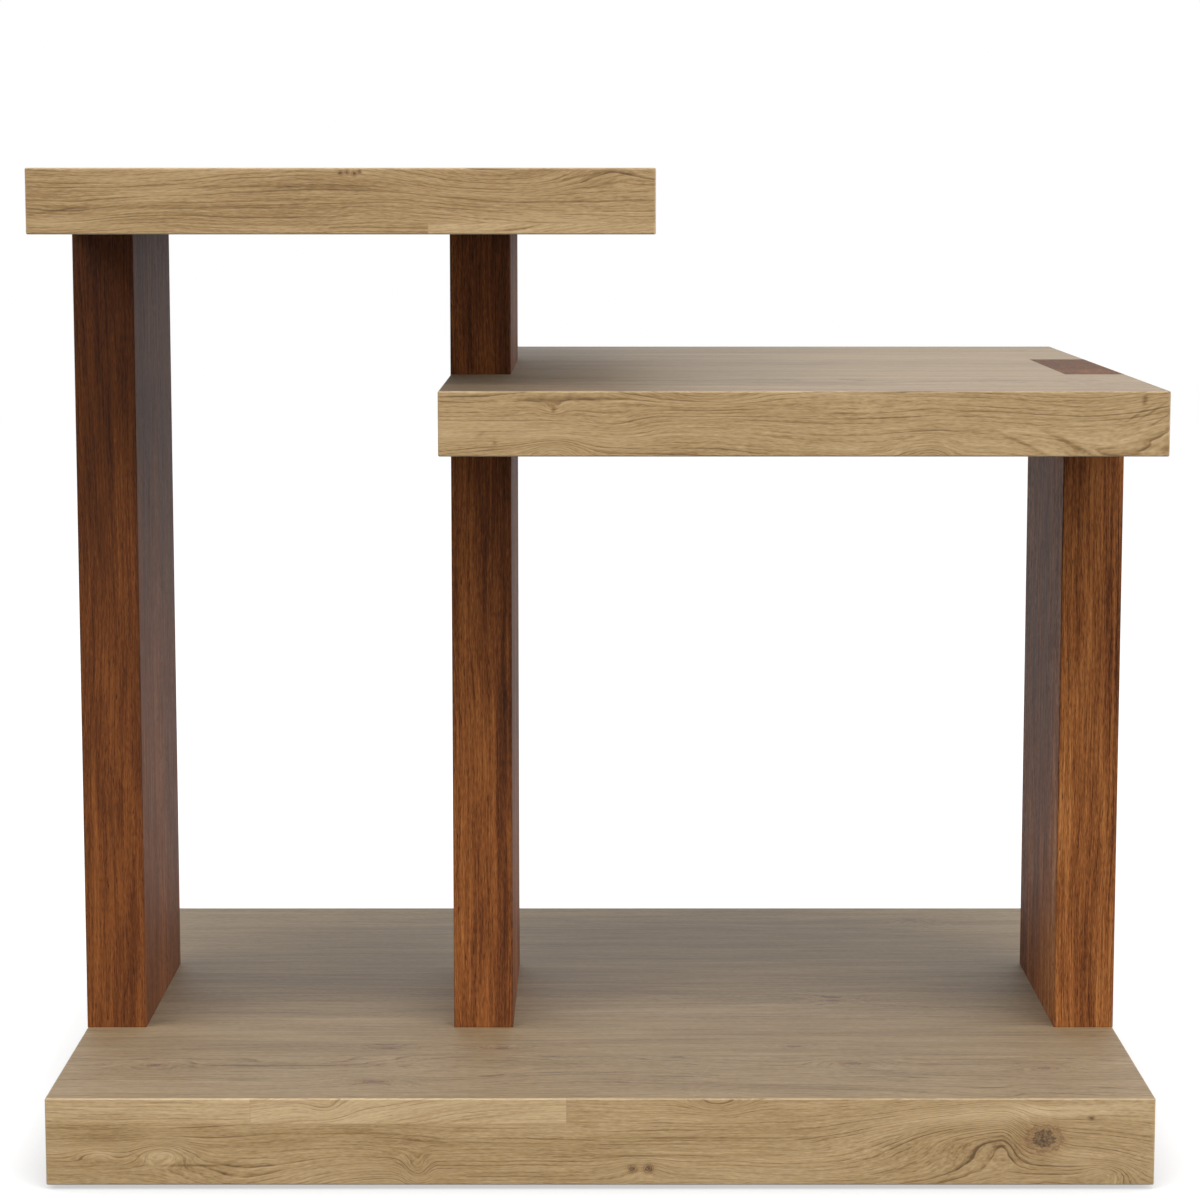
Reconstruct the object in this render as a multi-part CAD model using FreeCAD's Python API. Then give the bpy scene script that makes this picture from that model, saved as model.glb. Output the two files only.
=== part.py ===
import FreeCAD, Part
import math
import os

# Occasional table: a thick base slab, three upright plank legs and two tops at different heights.
# Millimetres. X runs to the right along the base, Y away from the front faces, Z up from the floor.
# The origin is on the floor, under the middle of the base.

# Base slab
base_length = 660.0
base_depth = 520.0
base_thickness = 53.0

# Tops, each as deep as the base, with their fronts in one plane
lower_top_thickness = 38.0
upper_top_thickness = 38.0
lower_clear_height = 382.0  # from the base's face to the lower top's underside
upper_clear_height = 90.0  # from the lower top's face to the upper top's underside
upper_top_overhang = 88.0  # how far the upper top reaches past the middle leg
edge_radius = 1.0  # rounding that takes the sharpness off every outer edge

# Legs
leg_thickness = 38.0
leg_depth = 176.0
leg_setback = 167.0  # from the front of the slabs to the front of the legs
left_bay_width = 198.0  # clear space between the left and the middle leg
leg_lipping_thickness = 10.0  # darker outer layer on the front board of the middle leg

# Seams between the edge-glued boards, from the front. Those of a slab lie in three zones: in front of
# the legs, over the legs' depth and behind the legs, and each is a share of its zone.
base_seam_shares = ((0.586, 0.755), (0.386, 0.841), (0.424,))
lower_top_seam_shares = ((0.719,), (0.502, 0.939), (0.466,))
upper_top_seam_shares = ((0.716,), (0.528,), (0.295,))
leg_seam_shares = (0.37, 0.65)

# Bolts from below the base into each leg's foot
bolt_diameter = 8.0
bolt_head_diameter = 13.0
bolt_head_height = 8.0
bolt_head_recess = 4.4  # from the base's underside up to the bolt's head
bolt_thread_engagement = 19.4
bolt_head_ease = 0.8  # small flat on the head's rims
bolt_end_ease = 1.0
bolt_socket_width = 6.0  # across the flats
bolt_socket_depth = 4.0
bolt_hole_clearance = 0.5  # all round the shank
bolt_place_shares = (-0.227, 0.227)  # from the leg's middle, as shares of its depth

# Washers under the bolts' heads, and the threaded inserts in the legs' feet
washer_diameter = 16.0
washer_thickness = 1.6
washer_hole_clearance = 0.2  # all round the shank
washer_clearance = 2.0  # all round the washer, in its counterbore
insert_diameter = 13.0
insert_length = 25.0
insert_slot_width = 2.0
insert_slot_depth = 3.0
insert_end_ease = 1.2
insert_hole_spare = 3.0  # drilled past the insert's inner end
thread_clearance = 0.05  # all round, between a bolt and its insert
glue_line = 0.05  # all round a piece that is glued into its hole

# Dowels
dowel_diameter = 10.0
dowel_end_ease = 1.0
dowel_hole_spare = 1.0  # drilled past each end of a dowel
base_dowel_depth = 29.0  # into the base, and as far into the leg
base_dowel_place_shares = (-0.409, 0.409)
top_dowel_depth = 33.0  # into the top, from the floor of its notch
top_dowel_cover = 12.0  # wood left between the dowel and the leg's outer face
top_dowel_place_shares = (-0.25, 0.25)

# Glides nailed under the base
glide_diameter = 28.0
glide_height = 3.0
glide_edge_ease = 0.8
glide_inset = 42.0  # from the base's edges to the middle of a glide
nail_diameter = 2.4
nail_length = 17.0
nail_point_length = 4.0
nail_head_diameter = 8.0
nail_head_height = 1.0
nail_head_clearance = 0.5  # all round the head, in the glide's recess
nail_head_cover = 1.2  # glide left above the head, clamped between it and the base

overrun = 5.0  # how far a cutting tool reaches past the wood

# Places that follow from the sizes above
left_end = -base_length / 2
right_end = base_length / 2
front = -base_depth / 2
back = base_depth / 2
base_bottom = glide_height
base_face = base_bottom + base_thickness
lower_top_bottom = base_face + lower_clear_height
lower_top_face = lower_top_bottom + lower_top_thickness
upper_top_bottom = lower_top_face + upper_clear_height
upper_top_face = upper_top_bottom + upper_top_thickness
leg_front = front + leg_setback
leg_back = leg_front + leg_depth
leg_middle = (leg_front + leg_back) / 2
left_leg_x = left_end
middle_leg_x = left_leg_x + leg_thickness + left_bay_width
right_leg_x = right_end - leg_thickness
upper_top_right = middle_leg_x + leg_thickness + upper_top_overhang
counterbore_depth = bolt_head_recess + bolt_head_height + washer_thickness
bolt_length = washer_thickness + base_thickness - counterbore_depth + bolt_thread_engagement

along_x = FreeCAD.Vector(1, 0, 0)
along_z = FreeCAD.Vector(0, 0, 1)


def block(x0, x1, y0, y1, z0, z1):
    return Part.makeBox(x1 - x0, y1 - y0, z1 - z0, FreeCAD.Vector(x0, y0, z0))


def rod(radius, length, start, direction=along_z):
    return Part.makeCylinder(radius, length, start, direction)


def point(x, y, z):
    return FreeCAD.Vector(x, y, z)


def rounded_block(x0, x1, y0, y1, z0, z1):
    # A block with all twelve edges rounded.
    plain = block(x0, x1, y0, y1, z0, z1)
    return plain.makeFillet(edge_radius, plain.Edges)


def eased_rod(radius, length, ease, start, direction=along_z):
    # A rod with both end rims eased.
    plain = rod(radius, length, start, direction)
    rims = [edge for edge in plain.Edges if edge.isClosed()]
    return plain.makeChamfer(ease, rims)


def one_piece(shape):
    # The single solid inside a cut's result, or all of them where there are more.
    clean = shape.removeSplitter()
    return clean.Solids[0] if len(clean.Solids) == 1 else clean


def base_envelope():
    return rounded_block(left_end, right_end, front, back, base_bottom, base_face)


def lower_top_envelope(reach_below=0):
    bottom = lower_top_bottom - reach_below
    return rounded_block(middle_leg_x, right_end, front, back, bottom, lower_top_face)


def upper_top_envelope(reach_below=0):
    bottom = upper_top_bottom - reach_below
    return rounded_block(left_end, upper_top_right, front, back, bottom, upper_top_face)


def leg_places(shares):
    # Y places along a leg's depth.
    return [leg_middle + share * leg_depth for share in shares]


def leg_middle_places(shares):
    # Points in the middle of each leg's thickness, at the height of the base's face.
    middles = [x + leg_thickness / 2 for x in (left_leg_x, middle_leg_x, right_leg_x)]
    return [point(x, y, base_face) for x in middles for y in leg_places(shares)]


def top_dowel_places():
    # Each is (notch floor's x, direction from the leg into the top, y, z).
    lower_z = (lower_top_bottom + lower_top_face) / 2
    upper_z = (upper_top_bottom + upper_top_face) / 2
    joints = (
        (left_leg_x + leg_thickness, 1, upper_z),
        (middle_leg_x + leg_thickness, 1, lower_z),
        (right_leg_x, -1, lower_z),
    )
    return [(x, way, y, z) for x, way, z in joints for y in leg_places(top_dowel_place_shares)]


def glide_places():
    xs = (left_end + glide_inset, right_end - glide_inset)
    ys = (front + glide_inset, back - glide_inset)
    return [(x, y) for x in xs for y in ys]


def base_dowels():
    radius = dowel_diameter / 2
    length = 2 * base_dowel_depth
    starts = [place - along_z * base_dowel_depth for place in leg_middle_places(base_dowel_place_shares)]
    return [eased_rod(radius, length, dowel_end_ease, start) for start in starts]


def base_dowel_holes():
    radius = dowel_diameter / 2 + glue_line
    reach = base_dowel_depth + dowel_hole_spare
    starts = [place - along_z * reach for place in leg_middle_places(base_dowel_place_shares)]
    return [rod(radius, 2 * reach, start) for start in starts]


def top_dowels():
    in_leg = leg_thickness - top_dowel_cover
    length = in_leg + top_dowel_depth
    pieces = []
    for x, way, y, z in top_dowel_places():
        start = point(x - way * in_leg, y, z)
        pieces.append(eased_rod(dowel_diameter / 2, length, dowel_end_ease, start, along_x * way))
    return pieces


def top_dowel_holes():
    in_leg = leg_thickness - top_dowel_cover + dowel_hole_spare
    length = in_leg + top_dowel_depth + dowel_hole_spare
    radius = dowel_diameter / 2 + glue_line
    holes = []
    for x, way, y, z in top_dowel_places():
        holes.append(rod(radius, length, point(x - way * in_leg, y, z), along_x * way))
    return holes


def bolt_seats():
    # Where each washer meets the floor of its counterbore.
    drop = base_thickness - counterbore_depth
    return [place - along_z * drop for place in leg_middle_places(bolt_place_shares)]


def hexagon(width, length, start):
    # A six-sided prism, measured across its flats.
    corner_radius = width / math.sqrt(3)
    turns = [math.radians(60 * step) for step in range(7)]
    corners = [start + point(math.cos(turn), math.sin(turn), 0) * corner_radius for turn in turns]
    return Part.Face(Part.makePolygon(corners)).extrude(along_z * length)


def bolts():
    pieces = []
    for seat in bolt_seats():
        head_top = seat - along_z * washer_thickness
        head_bottom = head_top - along_z * bolt_head_height
        head = eased_rod(bolt_head_diameter / 2, bolt_head_height, bolt_head_ease, head_bottom)
        shank_in_head = bolt_head_height - bolt_socket_depth
        shank_start = head_top - along_z * shank_in_head
        shank = eased_rod(bolt_diameter / 2, bolt_length + shank_in_head, bolt_end_ease, shank_start)
        socket = hexagon(bolt_socket_width, bolt_socket_depth, head_bottom)
        pieces.append(one_piece(head.fuse(shank).cut(socket)))
    return pieces


def bolt_holes():
    # The counterbore and the shank's hole, up to the leg's foot.
    holes = []
    wide_radius = washer_diameter / 2 + washer_clearance
    narrow_radius = bolt_diameter / 2 + bolt_hole_clearance
    reach_down = counterbore_depth + overrun
    for seat in bolt_seats():
        wide = rod(wide_radius, reach_down, seat - along_z * reach_down)
        narrow = rod(narrow_radius, base_thickness + overrun, seat)
        holes.append(wide.fuse(narrow))
    return holes


def washers():
    pieces = []
    hole_radius = bolt_diameter / 2 + washer_hole_clearance
    for seat in bolt_seats():
        bottom = seat - along_z * washer_thickness
        disc = rod(washer_diameter / 2, washer_thickness, bottom)
        pieces.append(disc.cut(rod(hole_radius, washer_thickness, bottom)))
    return pieces


def inserts():
    # Sleeves with a driver's slot across the mouth.
    pieces = []
    for place in leg_middle_places(bolt_place_shares):
        sleeve = eased_rod(insert_diameter / 2, insert_length, insert_end_ease, place)
        sleeve = sleeve.cut(rod(bolt_diameter / 2 + thread_clearance, insert_length, place))
        half_slot = insert_slot_width / 2
        reach = insert_diameter / 2
        slot = block(place.x - half_slot, place.x + half_slot, place.y - reach, place.y + reach,
                     place.z, place.z + insert_slot_depth)
        pieces.append(one_piece(sleeve.cut(slot)))
    return pieces


def insert_holes():
    depth = insert_length + insert_hole_spare
    places = leg_middle_places(bolt_place_shares)
    return [rod(insert_diameter / 2 + glue_line, depth, place) for place in places]


def glides():
    pieces = []
    recess_radius = nail_head_diameter / 2 + nail_head_clearance
    for x, y in glide_places():
        on_floor = point(x, y, 0)
        disc = rod(glide_diameter / 2, glide_height, on_floor)
        rims = [edge for edge in disc.Edges if edge.isClosed()]
        lower_rim = [edge for edge in rims if edge.BoundBox.ZMax < glide_height / 2]
        disc = disc.makeChamfer(glide_edge_ease, lower_rim)
        disc = disc.cut(rod(recess_radius, glide_height - nail_head_cover, on_floor))
        pieces.append(one_piece(disc.cut(rod(nail_diameter / 2, glide_height, on_floor))))
    return pieces


def glide_nails():
    # Each head clamps the glide's web, and the point ends in the base.
    pieces = []
    head_top = glide_height - nail_head_cover
    straight_length = nail_length - nail_point_length
    for x, y in glide_places():
        under_glide = point(x, y, head_top)
        head = rod(nail_head_diameter / 2, nail_head_height, under_glide - along_z * nail_head_height)
        shank = rod(nail_diameter / 2, straight_length, under_glide)
        tip_start = under_glide + along_z * straight_length
        tip = Part.makeCone(nail_diameter / 2, 0, nail_point_length, tip_start, along_z)
        pieces.append(one_piece(head.fuse(shank).fuse(tip)))
    return pieces


def nail_holes():
    head_top = glide_height - nail_head_cover
    return [rod(nail_diameter / 2, nail_length, point(x, y, head_top)) for x, y in glide_places()]


def leg_block(x, z0, z1):
    return block(x, x + leg_thickness, leg_front, leg_back, z0, z1)


def leg_run(x, z0, z1):
    # A stretch of a leg that shows, with its four upright edges rounded.
    plain = leg_block(x, z0, z1)
    uprights = [edge for edge in plain.Edges if edge.BoundBox.ZLength > (z1 - z0) / 2]
    return plain.makeFillet(edge_radius, uprights)


def leg_end(x, z0, z1, envelope):
    # The end that fills a top's notch, flush with the top and rounded along the top's face. The
    # envelope reaches below the top, so that the rounding of its lower edges misses the leg.
    return leg_block(x, z0, z1).common(envelope)


def left_leg():
    end = leg_end(left_leg_x, upper_top_bottom, upper_top_face, upper_top_envelope(overrun))
    return leg_run(left_leg_x, base_face, upper_top_bottom).fuse(end)


def middle_leg():
    end = leg_end(middle_leg_x, upper_top_bottom, upper_top_face, upper_top_envelope(overrun))
    in_notch = leg_block(middle_leg_x, lower_top_bottom, lower_top_face)
    below = leg_run(middle_leg_x, base_face, lower_top_bottom)
    above = leg_run(middle_leg_x, lower_top_face, upper_top_bottom)
    return below.fuse(in_notch).fuse(above).fuse(end)


def right_leg():
    end = leg_end(right_leg_x, lower_top_bottom, lower_top_face, lower_top_envelope(overrun))
    return leg_run(right_leg_x, base_face, lower_top_bottom).fuse(end)


def base_slab():
    return base_envelope().cut(base_dowel_holes() + bolt_holes() + nail_holes())


def lower_top():
    notches = [leg_block(x, lower_top_bottom, lower_top_face) for x in (middle_leg_x, right_leg_x)]
    return lower_top_envelope().cut(notches + top_dowel_holes())


def upper_top():
    notches = [leg_block(x, upper_top_bottom, upper_top_face) for x in (left_leg_x, middle_leg_x)]
    return upper_top_envelope().cut(notches + top_dowel_holes())


def seams_between(start, end, shares):
    return [start + share * (end - start) for share in shares]


def slab_seams(zone_shares):
    zones = ((front, leg_front), (leg_front, leg_back), (leg_back, back))
    seams = []
    for (start, end), shares in zip(zones, zone_shares):
        seams.extend(seams_between(start, end, shares))
    return seams


def boards(shape, name, seams):
    # Parts the shape into boards that lie side by side from the front, numbered from 1.
    box = shape.BoundBox
    edges = [box.YMin - overrun] + seams + [box.YMax + overrun]
    pieces = {}
    for number, (near, far) in enumerate(zip(edges, edges[1:]), 1):
        span = block(box.XMin - overrun, box.XMax + overrun, near, far,
                     box.ZMin - overrun, box.ZMax + overrun)
        pieces[name + "_board_" + str(number)] = one_piece(shape.common(span))
    return pieces


def split_lipping(pieces, name, lipping_name):
    # Parts the thin outer layer from the right side of a leg's front board.
    board = pieces[name]
    box = board.BoundBox
    joint = middle_leg_x + leg_thickness - leg_lipping_thickness
    layer = block(joint, box.XMax + overrun, box.YMin - overrun, box.YMax + overrun,
                  box.ZMin - overrun, box.ZMax + overrun)
    pieces[lipping_name] = one_piece(board.common(layer))
    pieces[name] = one_piece(board.cut(layer))


def wooden_nodes():
    nodes = {}
    nodes.update(boards(base_slab(), "base", slab_seams(base_seam_shares)))
    nodes.update(boards(lower_top(), "lower_top", slab_seams(lower_top_seam_shares)))
    nodes.update(boards(upper_top(), "upper_top", slab_seams(upper_top_seam_shares)))
    leg_seams = seams_between(leg_front, leg_back, leg_seam_shares)
    leg_holes = base_dowel_holes() + insert_holes() + top_dowel_holes()
    legs = (("left_leg", left_leg()), ("middle_leg", middle_leg()), ("right_leg", right_leg()))
    for name, leg in legs:
        nodes.update(boards(leg.cut(leg_holes), name, leg_seams))
    split_lipping(nodes, "middle_leg_board_1", "middle_leg_lipping")
    return nodes


def fitting_nodes():
    groups = {
        "leg_bolts": bolts(),
        "leg_bolt_washers": washers(),
        "leg_threaded_inserts": inserts(),
        "leg_foot_dowels": base_dowels(),
        "top_joint_dowels": top_dowels(),
        "floor_glides": glides(),
        "glide_nails": glide_nails(),
    }
    return {name: Part.makeCompound(solids) for name, solids in groups.items()}


os.makedirs("parts", exist_ok=True)
all_nodes = wooden_nodes()
all_nodes.update(fitting_nodes())
for name, shape in all_nodes.items():
    shape.exportStep("parts/" + name + ".step")
    print(name, len(shape.Solids), "solid(s), valid:", shape.isValid())
print(len(all_nodes), "nodes")
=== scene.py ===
import bpy
import bmesh
import math
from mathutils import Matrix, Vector


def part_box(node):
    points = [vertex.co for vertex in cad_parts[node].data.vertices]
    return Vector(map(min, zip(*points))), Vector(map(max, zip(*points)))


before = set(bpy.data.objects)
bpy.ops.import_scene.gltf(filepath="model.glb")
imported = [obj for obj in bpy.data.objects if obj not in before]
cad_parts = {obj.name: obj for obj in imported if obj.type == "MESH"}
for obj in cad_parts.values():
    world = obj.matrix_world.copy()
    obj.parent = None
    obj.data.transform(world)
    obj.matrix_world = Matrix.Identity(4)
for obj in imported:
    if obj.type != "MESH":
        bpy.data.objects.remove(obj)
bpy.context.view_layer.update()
print("Frame loaded:", len(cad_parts), "nodes")

millimetre = 0.001

# Camera: stands in front of the table and looks slightly down on it
camera = {
    "place": (-0.0001, -2.178, 0.5968),
    "downTilt": 7.2045,  # degrees
    "lens": 99.57,
    "sensor": 36.0,
}

# Studio: a white room with soft lamps in an arc before the table and one above it. The sky lights the
# table, while the camera and reflections see white in its place.
studio = {
    "skyAll": 0.04,
    "skyBack": 0.12,  # this one and the next three come on top of skyAll, within the bands below
    "skyLeft": 0.25,
    "skyRight": 1.48,
    "skyRightLow": 3.86,
    "sideBand": (0.35, 0.85),  # where a side's light starts and is full, as the direction's x or y
    "heightBand": (0.7, 0.5),  # the same downwards, as its z
    "lowBand": (0.22, 0.1),  # and for skyRightLow
    "frontSheen": 0.08,  # what reflections see towards the front, which is darker than the rest
    "sheenBand": (-0.35, 0.15),
    "floorColour": (70, 70, 70),  # what the floor sends back onto the table
    "floorSize": 12.0,
    "floorLitColour": (150, 150, 150),  # how the camera and reflections see the lamps' light on the floor
    "floorGlow": 0.9,  # what makes the floor white for them
    "contactGlow": 0.54,  # the same right beside the base, for its soft shadow
    "contactReach": 0.08,
    "contactOpenness": 0.5,  # how much of the sky a point right beside the base still sees
    "lampAim": (0.0, 0.0, 0.25),
    "lampDistance": 6.0,
    "lampSize": (3.0, 2.6),
    "lamps": {  # degrees to the right of the front, degrees above the table, watts
        "left_lamp": (-62, 43, 154.0),
        "left_front_lamp": (-30, 40, 91.0),
        "front_lamp": (0, 40, 43.0),
        "right_front_lamp": (30, 47, 145.0),
        "right_lamp": (60, 36, 92.0),
        "top_lamp": (0, 88, 35.0),
    },
}


def colour(red, green, blue):  # a colour as it looks on a screen, 0 to 255
    shares = [level / 255 for level in (red, green, blue)]
    linear = [share / 12.92 if share <= 0.04045 else ((share + 0.055) / 1.055) ** 2.4 for share in shares]
    return (*linear, 1.0)


# Small helpers for building shader nodes. A value is a number, a vector or another node's socket.

def feed(tree, socket, value):
    if isinstance(value, bpy.types.NodeSocket):
        tree.links.new(value, socket)
    elif socket.type == "VECTOR" and isinstance(value, float):
        socket.default_value = (value, value, value)
    else:
        socket.default_value = value


def calculate(tree, operation, *values):
    node = tree.nodes.new("ShaderNodeMath")
    node.operation = operation
    for socket, value in zip(node.inputs, values):
        feed(tree, socket, value)
    return node.outputs[0]


def combine(tree, operation, *values):  # vector arithmetic
    node = tree.nodes.new("ShaderNodeVectorMath")
    node.operation = operation
    for socket, value in zip(node.inputs, values):
        feed(tree, socket, value)
    return node.outputs["Value" if operation in ("LENGTH", "DOT_PRODUCT") else "Vector"]


def scaled(tree, vector, factor):
    node = tree.nodes.new("ShaderNodeVectorMath")
    node.operation = "SCALE"
    feed(tree, node.inputs[0], vector)
    feed(tree, node.inputs["Scale"], factor)
    return node.outputs["Vector"]


def parted(tree, vector):
    node = tree.nodes.new("ShaderNodeSeparateXYZ")
    feed(tree, node.inputs[0], vector)
    return node.outputs[0], node.outputs[1], node.outputs[2]


def joined(tree, x, y, z):
    node = tree.nodes.new("ShaderNodeCombineXYZ")
    for socket, value in zip(node.inputs, (x, y, z)):
        feed(tree, socket, value)
    return node.outputs[0]


def stretched(tree, value, low, high, newLow=0.0, newHigh=1.0, smooth=False):
    node = tree.nodes.new("ShaderNodeMapRange")
    node.interpolation_type = "SMOOTHSTEP" if smooth else "LINEAR"
    for socket, item in zip(node.inputs, (value, low, high, newLow, newHigh)):
        feed(tree, socket, item)
    return node.outputs[0]


def noise(tree, point, sizes, seed, detail=1.0, roughness=0.5):  # sizes in mm; gives value and colour
    counts = tuple(1.0 / size for size in sizes)
    spot = combine(tree, "MULTIPLY_ADD", point, counts, seed)
    node = tree.nodes.new("ShaderNodeTexNoise")
    node.inputs["Scale"].default_value = 1.0
    node.inputs["Detail"].default_value = detail
    node.inputs["Roughness"].default_value = roughness
    tree.links.new(spot, node.inputs["Vector"])
    return node.outputs[0], node.outputs[1]


def centred(tree, value):  # a noise's value, so that it swings about zero
    return calculate(tree, "SUBTRACT", value, 0.5)


def blended(tree, factor, first, second, blendType="MIX"):
    node = tree.nodes.new("ShaderNodeMix")
    node.data_type = "RGBA"
    node.blend_type = blendType
    feed(tree, node.inputs[0], factor)
    feed(tree, node.inputs[6], first)
    feed(tree, node.inputs[7], second)
    return node.outputs[2]


def newGroup(name, inputs, outputs):
    tree = bpy.data.node_groups.new(name, "ShaderNodeTree")
    for label, kind in inputs:
        tree.interface.new_socket(name=label, in_out="INPUT", socket_type="NodeSocket" + kind)
    for label, kind in outputs:
        tree.interface.new_socket(name=label, in_out="OUTPUT", socket_type="NodeSocket" + kind)
    return tree, tree.nodes.new("NodeGroupInput").outputs, tree.nodes.new("NodeGroupOutput").inputs


def useGroup(tree, groupName, **values):  # values by the sockets' names in camelCase
    node = tree.nodes.new("ShaderNodeGroup")
    node.node_tree = bpy.data.node_groups[groupName]
    for socket in node.inputs:
        key = socket.name[0].lower() + socket.name[1:].replace(" ", "")
        if key in values:
            feed(tree, socket, values[key])
    return node.outputs


# Effects that several woods share. The first coordinate always runs along the grain, in mm.

def makeGrainField():
    # How far each point lies from the heart of the tree, with the log's own sway
    tree, given, out = newGroup(
        "grainField",
        [("Place", "Vector"), ("Seed", "Float"), ("Pith", "Vector"), ("Sway", "Float"),
         ("Wobble", "Float")],
        [("Moved", "Vector"), ("Distance", "Float")],
    )
    half = (0.5, 0.5, 0.5)
    across = (0.0, 1.0, 1.0)
    swayNoise = noise(tree, given["Place"], (210, 70, 70), given["Seed"])[1]
    sway = scaled(tree, combine(tree, "SUBTRACT", swayNoise, half), given["Sway"])
    wobbleNoise = noise(tree, given["Place"], (42, 13, 13), given["Seed"], 2.0)[1]
    wobble = scaled(tree, combine(tree, "SUBTRACT", wobbleNoise, half), given["Wobble"])
    shift = combine(tree, "MULTIPLY", combine(tree, "ADD", sway, wobble), across)
    moved = combine(tree, "ADD", given["Place"], shift)
    radial = combine(tree, "MULTIPLY", combine(tree, "SUBTRACT", moved, given["Pith"]), across)
    feed(tree, out["Moved"], moved)
    feed(tree, out["Distance"], combine(tree, "LENGTH", radial))


def makeGrainSwirl():
    # Pushes the rings aside round a point, as a branch does
    tree, given, out = newGroup(
        "grainSwirl",
        [("Place", "Vector"), ("Distance", "Float"), ("Centre", "Vector"), ("Reach", "Vector"),
         ("Left Stretch", "Float"), ("Push", "Float")],
        [("Distance", "Float"), ("Nearness", "Float")],
    )
    offset = combine(tree, "SUBTRACT", given["Place"], given["Centre"])
    offset = combine(tree, "DIVIDE", offset, given["Reach"])
    x, y, z = parted(tree, offset)
    towardsLeft = calculate(tree, "DIVIDE", calculate(tree, "MINIMUM", x, 0.0), given["Left Stretch"])
    offset = joined(tree, calculate(tree, "MAXIMUM", x, towardsLeft), y, z)
    squared = combine(tree, "DOT_PRODUCT", offset, offset)
    nearness = calculate(tree, "EXPONENT", calculate(tree, "MULTIPLY", squared, -1.0))
    feed(tree, out["Distance"], calculate(tree, "MULTIPLY_ADD", nearness, given["Push"], given["Distance"]))
    feed(tree, out["Nearness"], nearness)


def makeGrainPatch():
    # A soft streak or spot; one that slopes climbs this many mm per mm to the right
    tree, given, out = newGroup(
        "grainPatch",
        [("Place", "Vector"), ("Centre", "Vector"), ("Reach", "Vector"), ("Slope", "Float")],
        [("Nearness", "Float")],
    )
    x, y, z = parted(tree, combine(tree, "SUBTRACT", given["Place"], given["Centre"]))
    level = calculate(tree, "SUBTRACT", z, calculate(tree, "MULTIPLY", x, given["Slope"]))
    offset = combine(tree, "DIVIDE", joined(tree, x, y, level), given["Reach"])
    squared = combine(tree, "DOT_PRODUCT", offset, offset)
    feed(tree, out["Nearness"], calculate(tree, "EXPONENT", calculate(tree, "MULTIPLY", squared, -1.0)))


# How large the parts of the figure are, in mm: along the grain, across the rings and along the rings
figureSizes = {
    "streaks": (40, 0.75, 1.1),
    "dashes": (4.5, 0.5, 0.7),
    "bands": (120, 3.6, 6.0),
    "blotches": (150, 16, 24),
    "jitter": (60, 5.0, 9.0),
    "comeAndGo": (46, 1.6, 3.0),
    "pores": (8.0, 0.42, 0.6),
}
fibreRange = (0.35, 0.65)  # where most of the fibres' values lie


def makeWoodFigure():
    # Rings, fibres and pores that follow the grain field
    tree, given, out = newGroup(
        "woodFigure",
        [("Moved", "Vector"), ("Distance", "Float"), ("Seed", "Float"), ("Ring Width", "Float"),
         ("Ring Share", "Float"), ("Fibre Share", "Float"), ("Dash Share", "Float"),
         ("Band Share", "Float"), ("Blotch Share", "Float")],
        [("Tone", "Float"), ("Rings", "Float"), ("Pores", "Float"), ("Fibres", "Float")],
    )
    along, side, up = parted(tree, given["Moved"])
    tangent = calculate(tree, "ADD", side, calculate(tree, "MULTIPLY", up, 0.37))
    flow = joined(tree, along, given["Distance"], tangent)
    seed = given["Seed"]
    streaks = noise(tree, flow, figureSizes["streaks"], seed, 2.0, 0.66)[0]
    dashes = noise(tree, flow, figureSizes["dashes"], seed, 1.0)[0]
    fibres = calculate(tree, "MULTIPLY_ADD", centred(tree, dashes), given["Dash Share"], streaks)
    bands = noise(tree, flow, figureSizes["bands"], seed, 2.0, 0.6)[0]
    blotches = noise(tree, flow, figureSizes["blotches"], seed, 1.0)[0]
    # Each ring starts with a dark porous line and fades to dense wood
    jitter = noise(tree, flow, figureSizes["jitter"], seed)[0]
    turns = calculate(tree, "DIVIDE", given["Distance"], given["Ring Width"])
    turns = calculate(tree, "MULTIPLY_ADD", jitter, 0.9, turns)
    phase = calculate(tree, "FRACT", turns)
    rise = stretched(tree, phase, 0.0, 0.1, smooth=True)
    fade = calculate(tree, "POWER", calculate(tree, "SUBTRACT", 1.0, phase), 4.0)
    line = calculate(tree, "MULTIPLY", rise, fade)
    ringNoise = tree.nodes.new("ShaderNodeTexWhiteNoise")
    ringNoise.noise_dimensions = "1D"
    feed(tree, ringNoise.inputs["W"], calculate(tree, "ADD", calculate(tree, "FLOOR", turns), seed))
    ringStrength = calculate(tree, "MULTIPLY_ADD", ringNoise.outputs["Value"], 0.9, 0.1)
    comeAndGo = noise(tree, flow, figureSizes["comeAndGo"], seed, 1.0)[0]
    comeAndGo = stretched(tree, comeAndGo, 0.36, 0.62, 0.15, 1.0)
    rings = calculate(tree, "MULTIPLY", line, calculate(tree, "MULTIPLY", ringStrength, comeAndGo))
    poreNoise = noise(tree, flow, figureSizes["pores"], seed, 1.0)[0]
    poreEdge = calculate(tree, "MULTIPLY_ADD", line, -0.1, 0.65)
    pores = stretched(tree, calculate(tree, "SUBTRACT", poreNoise, poreEdge), 0.0, 0.09, smooth=True)
    # The figure's tone: 0 where nothing is added, below it darker, above it lighter
    tone = calculate(tree, "MULTIPLY", centred(tree, fibres), given["Fibre Share"])
    tone = calculate(tree, "MULTIPLY_ADD", centred(tree, bands), given["Band Share"], tone)
    tone = calculate(tree, "MULTIPLY_ADD", centred(tree, blotches), given["Blotch Share"], tone)
    darkRings = calculate(tree, "MULTIPLY", rings, given["Ring Share"])
    tone = calculate(tree, "SUBTRACT", tone, darkRings)
    feed(tree, out["Tone"], tone)
    feed(tree, out["Rings"], rings)
    feed(tree, out["Pores"], pores)
    feed(tree, out["Fibres"], fibres)


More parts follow.
